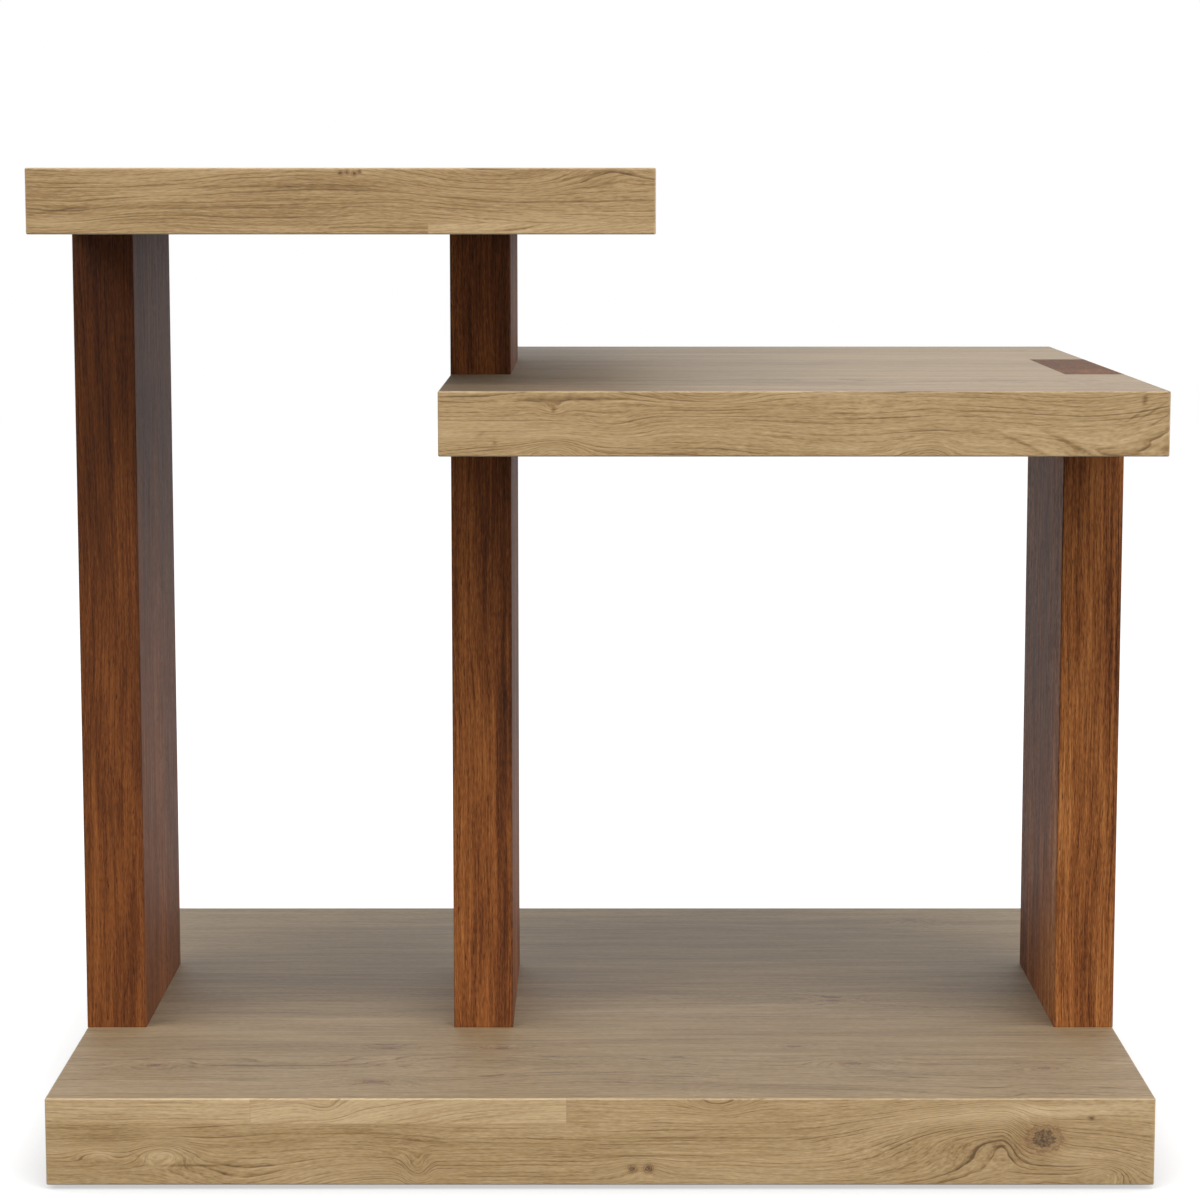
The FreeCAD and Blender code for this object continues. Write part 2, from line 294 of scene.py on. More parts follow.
def makeKnotHeart():
    # A dead branch's dark core, cracked and ragged, with a thin dark rim and a warm halo round it
    tree, given, out = newGroup(
        "knotHeart",
        [("Place", "Vector"), ("Centre", "Vector"), ("Size", "Vector"), ("Seed", "Float")],
        [("Core", "Float"), ("Halo", "Float")],
    )
    offset = combine(tree, "SUBTRACT", given["Place"], given["Centre"])
    offset = combine(tree, "DIVIDE", offset, given["Size"])
    away = combine(tree, "LENGTH", offset)
    ragged = noise(tree, given["Place"], (3.2, 2.2, 2.2), given["Seed"], 3.0, 0.65)[0]
    uneven = calculate(tree, "MULTIPLY_ADD", centred(tree, ragged), 1.7, away)
    crumbs = noise(tree, given["Place"], (1.3, 1.0, 1.0), given["Seed"], 2.0)[0]
    crumbs = stretched(tree, crumbs, 0.36, 0.58, 0.45, 0.85, smooth=True)
    waves = calculate(tree, "SINE", calculate(tree, "MULTIPLY", uneven, 9.0))
    broken = calculate(tree, "MULTIPLY_ADD", waves, 0.18, crumbs)
    core = calculate(tree, "MULTIPLY", stretched(tree, uneven, 1.15, 0.75, smooth=True), broken)
    fromRim = calculate(tree, "ABSOLUTE", calculate(tree, "SUBTRACT", uneven, 1.45))
    rim = stretched(tree, fromRim, 0.22, 0.0, smooth=True)
    feed(tree, out["Core"], calculate(tree, "MAXIMUM", core, calculate(tree, "MULTIPLY", rim, 0.4)))
    feed(tree, out["Halo"], stretched(tree, uneven, 2.7, 0.9, smooth=True))


def wallDistances(tree, given):  # how far inside a box a point lies, along each axis
    fromLow = combine(tree, "SUBTRACT", given["Place"], given["Low"])
    fromHigh = combine(tree, "SUBTRACT", given["High"], given["Place"])
    return parted(tree, combine(tree, "MINIMUM", fromLow, fromHigh))


def makeStrip():
    # 1 inside a box, 0 outside, with a crisp edge as at a glue line
    tree, given, out = newGroup(
        "strip",
        [("Place", "Vector"), ("Low", "Vector"), ("High", "Vector")],
        [("Mask", "Float"), ("Edge", "Float")],
    )
    x, y, z = wallDistances(tree, given)
    inside = calculate(tree, "MINIMUM", calculate(tree, "MINIMUM", x, y), z)
    feed(tree, out["Mask"], stretched(tree, inside, -0.1, 0.1))
    nearEdge = stretched(tree, calculate(tree, "ABSOLUTE", inside), 0.5, 0.0, smooth=True)
    feed(tree, out["Edge"], nearEdge)


def makeEdgeBand():
    # A band along the outer edges of the slab or leg that a board belongs to: the oak is lighter there,
    # partly wear and partly painted highlight, and the legs are darker there.
    # Of a point's three distances from the walls, the middle one is its distance from the nearest edge.
    tree, given, out = newGroup(
        "edgeWear",
        [("Place", "Vector"), ("Low", "Vector"), ("High", "Vector"), ("Seed", "Float")],
        [("Wear", "Float")],
    )
    x, y, z = wallDistances(tree, given)
    total = calculate(tree, "ADD", calculate(tree, "ADD", x, y), z)
    least = calculate(tree, "MINIMUM", calculate(tree, "MINIMUM", x, y), z)
    most = calculate(tree, "MAXIMUM", calculate(tree, "MAXIMUM", x, y), z)
    fromEdge = calculate(tree, "SUBTRACT", calculate(tree, "SUBTRACT", total, least), most)
    uneven = noise(tree, given["Place"], (24, 6, 6), given["Seed"], 2.0)[0]
    width = calculate(tree, "MULTIPLY", uneven, 2.6)  # mm
    feed(tree, out["Wear"], stretched(tree, fromEdge, width, 0.0, smooth=True))


for make in (makeGrainField, makeGrainSwirl, makeGrainPatch, makeWoodFigure, makeKnotHeart, makeStrip,
             makeEdgeBand):
    make()
print("Node groups built:", len(bpy.data.node_groups))


# Slabs and legs, as the frame has them, in mm

def boxOf(*nodeNames):
    boxes = [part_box(name) for name in nodeNames]
    low = Vector([min(box[0][axis] for box in boxes) for axis in range(3)])
    high = Vector([max(box[1][axis] for box in boxes) for axis in range(3)])
    return low / millimetre, high / millimetre


def boardsOf(member):
    return sorted(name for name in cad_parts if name.startswith(member + "_board_"))


# Each slab's and each leg's box, the layer on the middle leg included
memberBoxes = {}
for member in ("base", "lower_top", "upper_top", "left_leg", "middle_leg", "right_leg"):
    memberBoxes[member] = boxOf(*[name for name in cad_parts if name.startswith(member)])


def frontPoint(member, fromLeft, down):  # a point of a slab's front, in mm from its top left corner
    low, high = memberBoxes[member]
    return Vector((low.x + fromLeft, low.y, high.z - down))


def facePoint(member, fromLeft, fromFront):  # a point of its upper face, in mm from the front left corner
    low, high = memberBoxes[member]
    return Vector((low.x + fromLeft, low.y + fromFront, high.z))


# Oak of the slabs: pale and warm, with brown rings

# How deep what is drawn on a front or a face reaches into the wood, in mm
markDepths = {
    "swirl": 24,
    "patch": 8,
    "knot": 14,
    "strip": 1,
    "faceSwirl": 20,
    # a face's painted shade patches
    "facePatch": 12,
    "faceKnot": 12,
}
beforeFront = 5  # how far a strip's box stands out before the front

oakColours = [
    (0.0, colour(92, 66, 32)),
    (0.28, colour(136, 106, 63)),
    (0.5, colour(165, 137, 94)),
    (0.74, colour(187, 159, 118)),
    (1.0, colour(206, 181, 139)),
]
oakFinish = {
    "ringWidth": 1.9,
    "ringShare": 0.7,
    "swirlBoldness": 0.36,  # how much bolder the rings are in a swirl with a full push
    "fullPush": 12,
    "fibreShare": 0.57,
    "dashShare": 0.8,
    "bandShare": 0.36,
    "blotchShare": 0.36,
    "sway": 20.0,
    "wobble": 2.4,
    "poreDarkening": 0.3,
    "poreColour": colour(104, 76, 50),
    "frontKnot": {"core": colour(62, 40, 18), "haloShare": 0.55},
    "faceKnot": {"core": colour(74, 42, 16), "haloShare": 0.26},
    "faceKnotShare": 0.9,  # how much of a face knot's size its heart takes
    "knotCoreShare": 0.95,
    "knotHalo": colour(138, 99, 56),
    "knotReach": 8,  # mm beyond a board's edge from where a face's knot still shapes its grain
    "knotSwirl": (3.2, 3.4, 2.2),  # reach along, reach back and push, in a face knot's half sizes
    "knotShade": -0.04,  # how much darker a face is round its knots
    "endGrain": colour(126, 98, 68),
    "endGrainShare": 0.45,
    # the slabs' lighter edges: wear, and painted highlight
    "wearColour": colour(205, 182, 144),
    "wearShare": 0.28,
    "faceTint": (0.605, 0.602, 0.594, 1.0),  # painted shade: the upper faces are darker than the fronts, under their coat
    "seamColour": colour(112, 84, 56),
    "seamShare": 0.8,
    "seamWidth": 0.85,
    "stripEdgeShare": 0.25,  # how strongly a strip's edges show, next to a seam
    "stripSeed": 7.7,  # a strip's wood differs from the board's
    "roughness": (0.45, 0.57),
    "faceContrast": 0.32,  # how much bolder the figure is on the faces
    "faceRoughness": 0.24,  # how much rougher the faces are than the fronts
    "faceCoat": 1.0,
    "coatRoughness": 0.66,
    "shine": 0.65,
    "poreDepth": 0.8,
    "dentDepth": 0.6,
    "bumpDistance": 0.00025,
    "bumpStrength": 0.3,
}

# What each slab's boards, its front and its face show. All lengths are in mm.
# Tones are how much lighter each board is than the oak's middle colour.
# Piths are a log's heart, one for each board: (back from the board's middle, up from it).
# Swirls on the front are (from left, down, reach to the right, reach across, push, left reach as a
# multiple of the right one). A push below zero arches the grain up, and one above zero makes it dip.
# Patches are (from left, down, reach along, reach across, lightening, slope up to the right).
# Knots are (from left, down or from front, half length, half width).
# A face's patches are painted shade, as (from left, from front, reach along, reach back, lightening).
# Strips are let into a front between two corners, which are (from left, down). The grain of one with a
# slope climbs to the right.
slabs = {
    "base": {
        "piths": [(60, -130), (-160, -110), (150, 120), (-170, -90), (150, 110), (140, -120)],
        "tones": [0.07, 0.07, 0.04, -0.06, 0.05, 0.0],
        "frontSwirls": [
            (31, 34, 14, 5, -5, 1),
            (69, 33, 18, 8, -10, 1),
            (112, 54, 40, 12, 8, 1),
            (206, 56, 16, 12, -9, 3),
            (221, 44, 7, 9, 9, 1.3),
            (168, 6, 12, 7, 5, 1),
            (400, 2, 17, 8, 8, 1),
            (354, 43, 16, 7, -5, 1),
            (568, 21, 15, 17, -20, 5),
            (600, 50, 50, 30, -12, 1.2),
            (594, 25, 10, 8, -6, 1),
            (632, 46, 14, 7, -7, 1),
            (640, -6, 120, 14, -7, 1),
        ],
        "frontPatches": [
            (32, 34, 9, 2.0, 0.28, 0),
            (70, 34, 15, 5.5, 0.2, 0),
            (32, 22, 24, 6, -0.17, 0),
            (200, 24, 120, 9, -0.06, 0),
            (93, 18, 14, 3, -0.14, 0),
            (90, 41, 26, 0.8, -0.3, 0),
            (261, 11.5, 30, 0.7, -0.3, 0.12),
            (330, 28, 26, 8, -0.09, 0),
            (385, 24, 60, 0.7, -0.28, 0),
            (370, 35, 60, 0.7, -0.25, 0),
            (590, 8, 80, 5, 0.3, 0.045),
            (584, 24, 16, 9, -0.14, 0),
            (545, 32, 24, 12, -0.06, 0),
            (618, 40, 14, 7, 0.12, -0.3),
        ],
        "frontKnots": [
            (594, 24.5, 7.0, 5.5), (349, 43, 2.0, 1.6), (359, 43, 2.2, 2.0), (622, 12, 1.4, 0.9),
        ],
        "faceKnots": [
            (197, 115, 6, 3), (268, 115, 5, 2.4), (452, 119, 5.5, 2.4),
            (486, 79, 7, 3.4), (485, 237, 6, 3.4), (192, 37, 8, 4),
            (55, 75, 6, 3), (603, 68, 6, 2.8), (558, 480, 6, 4),
        ],
        "facePatches": [],
        "strips": [
            {"low": (-5, -1), "high": (122, 15.5), "lightening": 0.2, "slope": 0.0},
            {"low": (122, -1), "high": (310, 15.5), "lightening": 0.24, "slope": 0.11},
        ],
    },
    "lower_top": {
        "piths": [(50, -110), (-150, 110), (140, -120), (-150, -110), (140, 120)],
        "tones": [-0.01, 0.03, -0.03, 0.05, -0.02],
        "frontSwirls": [
            (68, 37, 15, 9, -10, 1),
            (50, 40, 40, 14, -5, 1),
            (106, 20, 18, 8, 3, 1),
            (84, -4, 40, 10, -5, 2),
            (160, -2, 26, 10, 6, 1),
            (67, 11, 6, 4, 2, 1),
            (286, 39, 12, 8, -9, 1.6),
            (394, 43, 48, 14, 8, 1),
            (450, 16, 34, 16, -5, 1),
        ],
        "frontPatches": [
            (67, 11, 1.4, 1.6, -0.3, 0),
            (25, 25, 2.5, 1.2, -0.2, 0.5),
            (33, 30, 1.5, 1.2, -0.25, 0),
            (409, 5, 1.6, 3, -0.35, 0.6),
            (404, 14, 8, 0.7, -0.22, 0.65),
            (413, 12, 9, 0.7, -0.22, 0.65),
            (419, 16, 7, 0.7, -0.2, 0.65),
            (422, 34, 5, 3, -0.2, 0),
            (285, 26, 6, 12, -0.05, 0),
            (338, 30, 14, 1.1, -0.25, -0.45),
            (368, 31.5, 14, 1.7, -0.32, -0.5),
            (356, 36, 8, 2, 0.14, -0.3),
        ],
        "frontKnots": [],
        "faceKnots": [(394, 460, 5, 3)],
        # Painted shadow of the upper top, on this face's front left part beside the middle leg
        "facePatches": [(10, 50, 95, 75, -0.24)],
        "strips": [],
    },
    "upper_top": {
        "piths": [(70, -170), (-150, 130), (150, -110), (-140, 120)],
        "tones": [-0.035, 0.04, -0.03, 0.05],
        "frontSwirls": [
            (20, 26, 32, 9, 4, 1),
            (338, -2, 34, 12, -9, 1),
            (262, 8, 44, 8, 3, 1),
        ],
        "frontPatches": [
            (150, 10.5, 50, 0.9, -0.22, 0),
            (120, 22.5, 80, 0.8, -0.22, 0),
            (20, 24, 20, 0.6, -0.25, 0.15),
            (30, 32, 34, 3.5, 0.12, 0),
            (188, 11, 26, 3, -0.08, 0),
            (280, 35, 20, 0.6, -0.25, 0.1),
            (318, 5, 16, 0.7, -0.2, 0.2),
        ],
        "frontKnots": [
            (181, 3, 1.2, 1.0), (185, 2.4, 1.0, 1.2), (189, 3.2, 1.1, 1.0), (192, 2.2, 1.0, 0.9),
        ],
        "faceKnots": [],
        "facePatches": [],
        "strips": [
            {"low": (231, 31.5), "high": (362, 39), "lightening": 0.12, "slope": 0.1},
        ],
    },
}


def objectPlace(tree):
    coordinates = tree.nodes.new("ShaderNodeTexCoord")
    return scaled(tree, coordinates.outputs["Object"], 1 / millimetre), coordinates.outputs["Normal"]


def newMaterial(name):
    material = bpy.data.materials.new(name)
    material.use_nodes = True
    tree = material.node_tree
    return material, tree, tree.nodes["Principled BSDF"]


def colourRamp(tree, value, stops):
    node = tree.nodes.new("ShaderNodeValToRGB")
    ramp = node.color_ramp
    while len(ramp.elements) < len(stops):
        ramp.elements.new(0.5)
    for element, (position, tint) in zip(ramp.elements, stops):
        element.position = position
        element.color = tint
    feed(tree, node.inputs[0], value)
    return node.outputs[0]


def addBump(tree, shader, height, strength, distance):
    node = tree.nodes.new("ShaderNodeBump")
    node.inputs["Strength"].default_value = strength
    node.inputs["Distance"].default_value = distance
    feed(tree, node.inputs["Height"], height)
    feed(tree, shader.inputs["Normal"], node.outputs["Normal"])


def seamLine(tree, side, edges, width):
    # 1 on the glue lines at a board's own edges, which lie at these places across the grain, in mm
    nearest = None
    for edge in edges:
        away = calculate(tree, "ABSOLUTE", calculate(tree, "SUBTRACT", side, edge))
        nearest = away if nearest is None else calculate(tree, "MINIMUM", nearest, away)
    return stretched(tree, nearest, width, 0.0, smooth=True) if nearest else 0.0


def innerEdges(node, member):
    # Where a board meets its neighbours, and not the outside
    low, high = (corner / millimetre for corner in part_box(node))
    memberLow, memberHigh = memberBoxes[member]
    edges = []
    if low.y - memberLow.y > 1:
        edges.append(low.y)
    if memberHigh.y - high.y > 1:
        edges.append(high.y)
    return edges


def nearBoard(node, point, reach):
    low, high = (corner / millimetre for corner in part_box(node))
    return low.y - reach <= point.y <= high.y + reach


def facing(tree, normal, axis):  # 1 where a surface looks along this axis, either way
    return stretched(tree, calculate(tree, "ABSOLUTE", parted(tree, normal)[axis]), 0.6, 0.95)


def tinted(tree, tint, mask, share, newTint):
    return blended(tree, calculate(tree, "MULTIPLY", mask, share), tint, newTint)


def stripEffects(tree, member, spot):
    # Where a front's strips are, their edges, how much lighter they are and how far their grain climbs
    mask, edge, lightening, climb = 0.0, 0.0, 0.0, 0.0
    for strip in slabs[member]["strips"]:
        low = frontPoint(member, strip["low"][0], strip["high"][1])
        high = frontPoint(member, strip["high"][0], strip["low"][1])
        low.y -= beforeFront
        high.y += markDepths["strip"]
        masks = useGroup(tree, "strip", place=spot, low=low, high=high)
        mask = calculate(tree, "ADD", masks["Mask"], mask)
        edge = calculate(tree, "MAXIMUM", masks["Edge"], edge)
        lightening = calculate(tree, "MULTIPLY_ADD", masks["Mask"], strip["lightening"], lightening)
        if strip["slope"]:
            rise = calculate(tree, "MULTIPLY", parted(tree, spot)[0], -strip["slope"])
            climb = calculate(tree, "MULTIPLY_ADD", masks["Mask"], rise, climb)
    return mask, edge, lightening, climb


def markFront(tree, member, spot, distance, tone):
    # The swirls and patches of a front, and how bold the swirls make the rings
    boldness = 0.0
    for along, down, reachAlong, reachDown, push, leftStretch in slabs[member]["frontSwirls"]:
        swirl = useGroup(tree, "grainSwirl", place=spot, distance=distance,
                         centre=frontPoint(member, along, down),
                         reach=(reachAlong, markDepths["swirl"], reachDown),
                         leftStretch=float(leftStretch), push=push)
        distance = swirl["Distance"]
        strength = abs(push) / oakFinish["fullPush"]
        boldness = calculate(tree, "MULTIPLY_ADD", swirl["Nearness"], strength, boldness)
    for along, down, reachAlong, reachDown, light, slope in slabs[member]["frontPatches"]:
        patch = useGroup(tree, "grainPatch", place=spot, centre=frontPoint(member, along, down),
                         reach=(reachAlong, markDepths["patch"], reachDown), slope=float(slope))
        tone = calculate(tree, "MULTIPLY_ADD", patch["Nearness"], light, tone)
    return distance, tone, boldness


def markFace(tree, member, spot, distance, tone, faceKnots, faceFactor):
    # The grain that parts round a face's knots, and the face's patches of painted shade
    shareAlong, shareBack, pushShare = oakFinish["knotSwirl"]
    for along, back, halfLength, halfWidth in faceKnots:
        reach = (halfLength * shareAlong, halfWidth * shareBack, markDepths["faceSwirl"])
        swirl = useGroup(tree, "grainSwirl", place=spot, distance=distance,
                         centre=facePoint(member, along, back), reach=reach,
                         leftStretch=1.0, push=halfWidth * pushShare)
        distance = swirl["Distance"]
        tone = calculate(tree, "MULTIPLY_ADD", swirl["Nearness"], oakFinish["knotShade"], tone)
    # Painted shade on the face
    for along, back, reachAlong, reachBack, light in slabs[member]["facePatches"]:
        patch = useGroup(tree, "grainPatch", place=spot, centre=facePoint(member, along, back),
                         reach=(reachAlong, reachBack, markDepths["facePatch"]), slope=0.0)
        onFace = calculate(tree, "MULTIPLY", patch["Nearness"], faceFactor)
        tone = calculate(tree, "MULTIPLY_ADD", onFace, light, tone)
    return distance, tone


def drawKnots(tree, member, spot, seed, frontKnots, faceKnots, tint, dents):
    knots = []  # centre, half sizes and look
    for along, down, halfLength, halfWidth in frontKnots:
        size = (halfLength, markDepths["knot"], halfWidth)
        knots.append((frontPoint(member, along, down), size, oakFinish["frontKnot"]))
    share = oakFinish["faceKnotShare"]
    for along, back, halfLength, halfWidth in faceKnots:
        size = (halfLength * share, halfWidth * share, markDepths["faceKnot"])
        knots.append((facePoint(member, along, back), size, oakFinish["faceKnot"]))
    for centre, size, look in knots:
        knot = useGroup(tree, "knotHeart", place=spot, centre=centre, size=size, seed=seed)
        tint = tinted(tree, tint, knot["Halo"], look["haloShare"], oakFinish["knotHalo"])
        tint = tinted(tree, tint, knot["Core"], oakFinish["knotCoreShare"], look["core"])
        dents = calculate(tree, "ADD", dents, knot["Core"])
    return tint, dents


def oakMaterial(node, member, index):
    slab = slabs[member]
    seed = 11.3 * (index + 1) + 57.0 * len(member)  # another one for each board
    material, tree, shader = newMaterial(node + "_oak")
    spot, normal = objectPlace(tree)
    boardLow, boardHigh = boxOf(node)
    middle = (boardLow + boardHigh) / 2
    sideOffset, upOffset = slab["piths"][index]
    pith = (0.0, middle.y + sideOffset, middle.z + upOffset)
    faceFactor = facing(tree, normal, 2)
    faceKnots = [knot for knot in slab["faceKnots"]
                 if nearBoard(node, facePoint(member, knot[0], knot[1]), oakFinish["knotReach"])]

    # The first board carries the front, with all that shows there
    isFront = index == 0
    frontKnots = slab["frontKnots"] if isFront else []
    seedNow, stripEdge = seed, 0.0
    if isFront:
        stripMask, stripEdge, stripLight, stripClimb = stripEffects(tree, member, spot)
        seedNow = calculate(tree, "MULTIPLY_ADD", stripMask, oakFinish["stripSeed"], seed)
    field = useGroup(tree, "grainField", place=spot, seed=seedNow, pith=pith,
                     sway=oakFinish["sway"], wobble=oakFinish["wobble"])
    distance, tone, boldness = field["Distance"], slab["tones"][index] + 0.5, 0.0
    if isFront:
        distance = calculate(tree, "ADD", distance, stripClimb)
        tone = calculate(tree, "ADD", stripLight, tone)
        distance, tone, boldness = markFront(tree, member, spot, distance, tone)
    distance, tone = markFace(tree, member, spot, distance, tone, faceKnots, faceFactor)

    ringShare = calculate(tree, "MULTIPLY_ADD", boldness, oakFinish["swirlBoldness"],
                          oakFinish["ringShare"])
    figure = useGroup(tree, "woodFigure", moved=field["Moved"], distance=distance, seed=seedNow,
                      ringWidth=oakFinish["ringWidth"], ringShare=ringShare,
                      fibreShare=oakFinish["fibreShare"], dashShare=oakFinish["dashShare"],
                      bandShare=oakFinish["bandShare"], blotchShare=oakFinish["blotchShare"])
    contrast = calculate(tree, "MULTIPLY_ADD", faceFactor, oakFinish["faceContrast"], 1.0)
    tone = calculate(tree, "MULTIPLY_ADD", figure["Tone"], contrast, tone)
    tint = colourRamp(tree, tone, oakColours)
    poreFactor = calculate(tree, "MULTIPLY", figure["Pores"], oakFinish["poreDarkening"])
    tint = tinted(tree, tint, poreFactor, contrast, oakFinish["poreColour"])
    # Painted shade: the upper faces are darkened against the fronts
    tint = blended(tree, faceFactor, tint, oakFinish["faceTint"], "MULTIPLY")
    tint, dents = drawKnots(tree, member, spot, seed, frontKnots, faceKnots, tint, figure["Rings"])

    tint = tinted(tree, tint, facing(tree, normal, 0), oakFinish["endGrainShare"], oakFinish["endGrain"])
    low, high = memberBoxes[member]
    # Lighter along the slab's edges: wear, and painted highlight
    edgeMask = useGroup(tree, "edgeWear", place=spot, low=low, high=high, seed=seed)["Wear"]
    tint = tinted(tree, tint, edgeMask, oakFinish["wearShare"], oakFinish["wearColour"])
    seam = seamLine(tree, parted(tree, spot)[1], innerEdges(node, member), oakFinish["seamWidth"])
    if isFront and slab["strips"]:
        stripSeam = calculate(tree, "MULTIPLY", stripEdge, oakFinish["stripEdgeShare"])
        seam = calculate(tree, "MAXIMUM", seam, stripSeam)
    tint = tinted(tree, tint, seam, oakFinish["seamShare"], oakFinish["seamColour"])

    feed(tree, shader.inputs["Base Color"], tint)
    shader.inputs["Specular IOR Level"].default_value = oakFinish["shine"]
    sheen, dull = oakFinish["roughness"]
    roughness = stretched(tree, figure["Fibres"], *fibreRange, dull, sheen)
    roughness = calculate(tree, "MULTIPLY_ADD", faceFactor, oakFinish["faceRoughness"], roughness)
    feed(tree, shader.inputs["Roughness"], roughness)
    feed(tree, shader.inputs["Coat Weight"], calculate(tree, "MULTIPLY", faceFactor, oakFinish["faceCoat"]))
    shader.inputs["Coat Roughness"].default_value = oakFinish["coatRoughness"]
    height = calculate(tree, "MULTIPLY_ADD", figure["Pores"], -oakFinish["poreDepth"], figure["Fibres"])
    height = calculate(tree, "MULTIPLY_ADD", dents, -oakFinish["dentDepth"], height)
    height = calculate(tree, "SUBTRACT", height, seam)
    addBump(tree, shader, height, oakFinish["bumpStrength"], oakFinish["bumpDistance"])
    return material


# Dark wood of the legs: reddish brown, straight grained, with short dark pores; the left leg is the
# darkest, both in its wood's tone and in the painted shade towards the top that all legs have

darkFinish = {
    "ringWidth": 3.4,
    "ringShare": 0.22,
    "fibreShare": 0.6,
    "dashShare": 0.8,
    "bandShare": 0.5,
    "blotchShare": 0.35,
    "sway": 10.0,
    "wobble": 1.2,
    "poreDarkening": 0.85,
    "poreColour": colour(46, 22, 12),
    "endGrain": colour(77, 62, 51),
    "endGrainShare": 0.55,
    "edgeColour": colour(70, 40, 24),  # the legs are darker along their edges
    "edgeShare": 0.35,
    "seamColour": colour(40, 22, 14),
    "seamShare": 0.4,
    "seamWidth": 0.35,
    "darkTop": 30,  # mm below a leg's top from where its painted shade is at its darkest
    "roughness": (0.58, 0.7),
    "shine": 0.15,
    "poreDepth": 1.0,
    "bumpDistance": 0.0002,
    "bumpStrength": 0.25,
}
darkColours = [
    (0.0, colour(52, 26, 14)),
    (0.3, colour(98, 54, 25)),
    (0.5, colour(132, 78, 38)),
    (0.75, colour(160, 101, 52)),
    (1.0, colour(186, 128, 74)),
]
# Each board's pith is (right of the leg's middle, back from it), in mm. "figure" is the grain's strength.
# Each leg's painted shade darkens it towards its top, where the slabs above shade it: (height in mm where
# it starts, how much darker it gets).
legs = {
    "left_leg": {
        "tones": [-0.13, -0.05, -0.12],
        "piths": [(120, 60), (-140, 90), (160, -70)],
        "figure": 0.85,
        "darkening": (220, 0.26),
    },
    "middle_leg": {
        "tones": [-0.01, -0.04, -0.08],
        "piths": [(-150, 70), (120, -80), (-130, 100)],
        "figure": 1.2,
        "darkening": (120, 0.21),
        "lippingTone": -0.13,  # of the thin layer that covers its right side
    },
    "right_leg": {
        "tones": [0.08, -0.03, -0.06],
        "piths": [(140, -90), (-120, 70), (150, 110)],
        "figure": 1.7,
        "darkening": (150, 0.13),
    },
}


def darkMaterial(node, member, index, tone):
    seed = 23.7 * (index + 1) + 31.0 * sum(map(ord, member)) % 97  # another one for each board
    material, tree, shader = newMaterial(node + "_dark_wood")
    spot, normal = objectPlace(tree)
    x, y, z = parted(tree, spot)
    upright = joined(tree, z, x, y)  # the grain runs up the leg
    low, high = memberBoxes[member]
    middle = (low + high) / 2
    piths = legs[member]["piths"]
    sideOffset, backOffset = piths[index % len(piths)]
    pith = (0.0, middle.x + sideOffset, middle.y + backOffset)
    strength = legs[member]["figure"]
    field = useGroup(tree, "grainField", place=upright, seed=seed, pith=pith,
                     sway=darkFinish["sway"], wobble=darkFinish["wobble"])
    figure = useGroup(tree, "woodFigure", moved=field["Moved"], distance=field["Distance"], seed=seed,
                      ringWidth=darkFinish["ringWidth"], ringShare=darkFinish["ringShare"] * strength,
                      fibreShare=darkFinish["fibreShare"] * strength, dashShare=darkFinish["dashShare"],
                      bandShare=darkFinish["bandShare"] * strength,
                      blotchShare=darkFinish["blotchShare"] * strength)
    # Painted shade: darker towards the leg's top, where the slabs above shade it
    start, darkening = legs[member]["darkening"]
    end = high.z - darkFinish["darkTop"]
    shade = stretched(tree, z, start, end, tone + 0.5, tone + 0.5 - darkening)
    tint = colourRamp(tree, calculate(tree, "ADD", figure["Tone"], shade), darkColours)
    tint = tinted(tree, tint, figure["Pores"], darkFinish["poreDarkening"], darkFinish["poreColour"])
    tint = tinted(tree, tint, facing(tree, normal, 2), darkFinish["endGrainShare"], darkFinish["endGrain"])
    # Darker along the leg's edges
    edgeMask = useGroup(tree, "edgeWear", place=spot, low=low, high=high, seed=seed)["Wear"]
    tint = tinted(tree, tint, edgeMask, darkFinish["edgeShare"], darkFinish["edgeColour"])
    seam = seamLine(tree, y, innerEdges(node, member), darkFinish["seamWidth"])
    tint = tinted(tree, tint, seam, darkFinish["seamShare"], darkFinish["seamColour"])
    feed(tree, shader.inputs["Base Color"], tint)
    shader.inputs["Specular IOR Level"].default_value = darkFinish["shine"]
    sheen, dull = darkFinish["roughness"]
    feed(tree, shader.inputs["Roughness"], stretched(tree, figure["Fibres"], *fibreRange, dull, sheen))
    height = calculate(tree, "MULTIPLY_ADD", figure["Pores"], -darkFinish["poreDepth"], figure["Fibres"])
    addBump(tree, shader, height, darkFinish["bumpStrength"], darkFinish["bumpDistance"])
    return material


def dress(node, material):
    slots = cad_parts[node].data.materials
    slots.clear()
    slots.append(material)


for member in slabs:
    for index, node in enumerate(boardsOf(member)):
        dress(node, oakMaterial(node, member, index))
for member in legs:
    for index, node in enumerate(boardsOf(member)):
        dress(node, darkMaterial(node, member, index, legs[member]["tones"][index]))
lipping = "middle_leg_lipping"
dress(lipping, darkMaterial(lipping, "middle_leg", 3, legs["middle_leg"]["lippingTone"]))
print("Boards dressed")


# Fittings: beech dowels, plated steel, brass and nylon. A bump is (strength, distance in metres).

beechFinish = {
    "colours": [(0.2, colour(168, 128, 92)), (0.5, colour(204, 167, 128)), (0.8, colour(222, 190, 154))],
    "fleckShare": 0.8,
    "roughness": 0.6,
    "bump": (0.2, 0.0001),
}
zincFinish = {
    "pale": colour(196, 198, 200),
    "dark": colour(150, 154, 158),
    "scratchSizes": (0.3, 0.3, 0.8),
    "roughness": (0.24, 0.42),
    "bump": (0.15, 0.00005),
}
brassFinish = {
    "pale": colour(214, 178, 104),
    "dark": colour(172, 136, 72),
    "scratchSizes": (0.4, 0.4, 0.4),
    "roughness": (0.26, 0.44),
    "bump": (0.15, 0.00005),
}
nylonFinish = {
    "colours": [(0.25, colour(66, 62, 58)), (0.6, colour(96, 92, 86)), (0.85, colour(122, 117, 110))],
    "roughness": (0.48, 0.68),
    "bump": (0.15, 0.00008),
}


